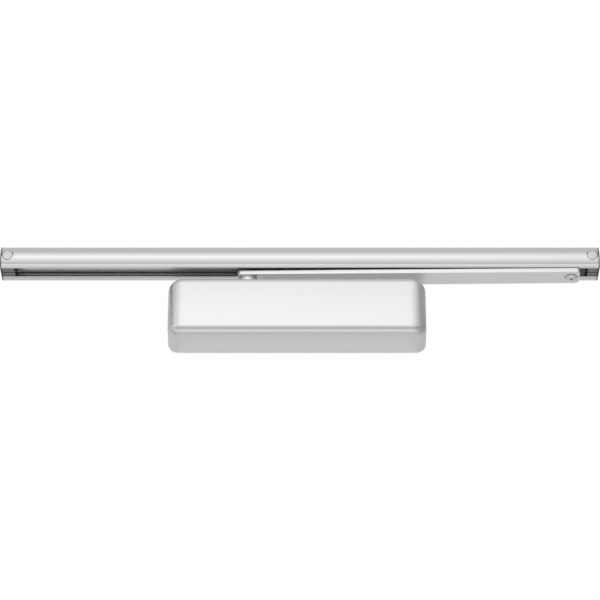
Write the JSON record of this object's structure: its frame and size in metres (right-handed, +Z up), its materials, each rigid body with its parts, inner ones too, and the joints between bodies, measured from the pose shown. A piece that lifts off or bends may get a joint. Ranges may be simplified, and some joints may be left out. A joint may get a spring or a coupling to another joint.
{
  "type": "door closer",
  "caption": "Surface-mounted door closer: hydraulic body under a smooth silver cover, one flat lever arm, and a long bulged slide track above it.",
  "frame": {"origin": "centre of the closer body's four mounting holes, on the door's face", "axes": "+X along the track away from the hinge, +Y into the door, +Z up along the pinion"},
  "size_m": [0.724, 0.057, 0.1234],
  "materials": {
    "cast_aluminium": "as cast, light grey",
    "pinion_steel": "ground and hardened",
    "bearing_steel": "polished",
    "zinc_plated_steel": "bright zinc",
    "spring_steel": "oil tempered",
    "piston_iron": "ground",
    "valve_brass": "turned",
    "bush_bronze": "sintered",
    "seal_rubber": "smooth",
    "pad_rubber": "moulded",
    "plug_aluminium": "turned",
    "cover_silver_paint": "satin silver sprayed",
    "arm_silver_paint": "satin silver sprayed",
    "track_anodised": "satin clear anodised",
    "cap_plastic": "moulded, dark grey",
    "shoe_nylon": "moulded, black",
    "hole_cap_silver": "silver sprayed"
  },
  "bodies": {
    "closer": {"closer_body": "cast_aluminium", "gallery_plugs": "zinc_plated_steel", "pinion_bearing_upper": "bearing_steel", "pinion_bearing_lower": "bearing_steel", "bearing_needles_upper": "bearing_steel", "bearing_needles_lower": "bearing_steel", "pinion_seal": "seal_rubber", "pinion_gland_nut": "zinc_plated_steel", "pinion_lower_cap": "zinc_plated_steel", "outer_spring": "spring_steel", "inner_spring": "spring_steel", "head_end_plug": "plug_aluminium", "spring_end_plug": "plug_aluminium", "end_plug_o_rings": "seal_rubber", "valve_o_rings": "seal_rubber", "cover_clips": "spring_steel", "cover_clip_screws": "zinc_plated_steel"},
    "piston": {"piston": "piston_iron", "check_valve_balls": "bearing_steel", "check_valve_retainers": "valve_brass"},
    "arm": {"pinion_shaft": "pinion_steel", "main_arm": "arm_silver_paint", "arm_screw": "zinc_plated_steel", "pivot_bush": "bush_bronze"},
    "slider": {"slider_shoe": "shoe_nylon", "pivot_screw": "zinc_plated_steel", "pivot_nut": "zinc_plated_steel"},
    "track": {"track_channel": "track_anodised", "track_end_cap_left": "cap_plastic", "track_end_cap_right": "cap_plastic", "fixing_hole_caps": "hole_cap_silver", "end_block_left": "cap_plastic", "end_block_right": "cap_plastic", "bumper_pad_left": "pad_rubber", "bumper_pad_right": "pad_rubber"},
    "cover": {"closer_cover": "cover_silver_paint"},
    "sweep_valve": {"sweep_valve_screw": "valve_brass"},
    "latch_valve": {"latch_valve_screw": "valve_brass"},
    "backcheck_valve": {"backcheck_valve_screw": "valve_brass"},
    "power_screw": {"power_adjusting_screw": "zinc_plated_steel"},
    "spring_seat": {"spring_seat": "zinc_plated_steel"}
  },
  "joints": [
    {"name": "arm_turn", "type": "hinge", "parent": "closer", "child": "arm", "pos_m": [-0.0595, -0.028, 0], "axis": [0, 0, 1], "range_deg": [0, 180], "stiffness_Nm_per_rad": 10, "springref_deg": -85.94},
    {"name": "piston_travel", "type": "slide", "parent": "closer", "child": "piston", "axis": [1, 0, 0], "range_m": [0, 0.02828], "deforming": ["outer_spring", "inner_spring"]},
    {"name": "shoe_pivot", "type": "hinge", "parent": "arm", "child": "slider", "pos_m": [0.33145, -0.0345, 0], "axis": [0, 0, 1], "range_deg": [-90, 90]},
    {"name": "track_slide", "type": "slide", "parent": "slider", "child": "track", "axis": [1, 0, 0], "range_m": [-0.0015, 0.654]},
    {"name": "cover_pull", "type": "slide", "parent": "closer", "child": "cover", "axis": [0, -1, 0], "range_m": [0, 0.09]},
    {"name": "sweep_valve_turn", "type": "hinge", "parent": "closer", "child": "sweep_valve", "pos_m": [-0.14, -0.047, 0.021], "axis": [-1, 0, 0], "range_deg": [-180, 360]},
    {"name": "latch_valve_turn", "type": "hinge", "parent": "closer", "child": "latch_valve", "pos_m": [-0.14, -0.047, -0.021], "axis": [-1, 0, 0], "range_deg": [-180, 360]},
    {"name": "backcheck_valve_turn", "type": "hinge", "parent": "closer", "child": "backcheck_valve", "pos_m": [0.14, -0.047, 0.021], "axis": [1, 0, 0], "range_deg": [-180, 360]},
    {"name": "power_screw_turn", "type": "hinge", "parent": "closer", "child": "power_screw", "pos_m": [0.139, -0.028, 0], "axis": [-1, 0, 0], "range_deg": [0, 2880]},
    {"name": "spring_seat_travel", "type": "slide", "parent": "closer", "child": "spring_seat", "axis": [-1, 0, 0], "range_m": [0, 0.0106], "deforming": ["outer_spring", "inner_spring"]}
  ],
  "couplings": [
    {"joint": "piston_travel", "follows": "arm_turn", "m_per_rad": 0.009},
    {"joint": "spring_seat_travel", "follows": "power_screw_turn", "m_per_rad": 0.00019894}
  ]
}
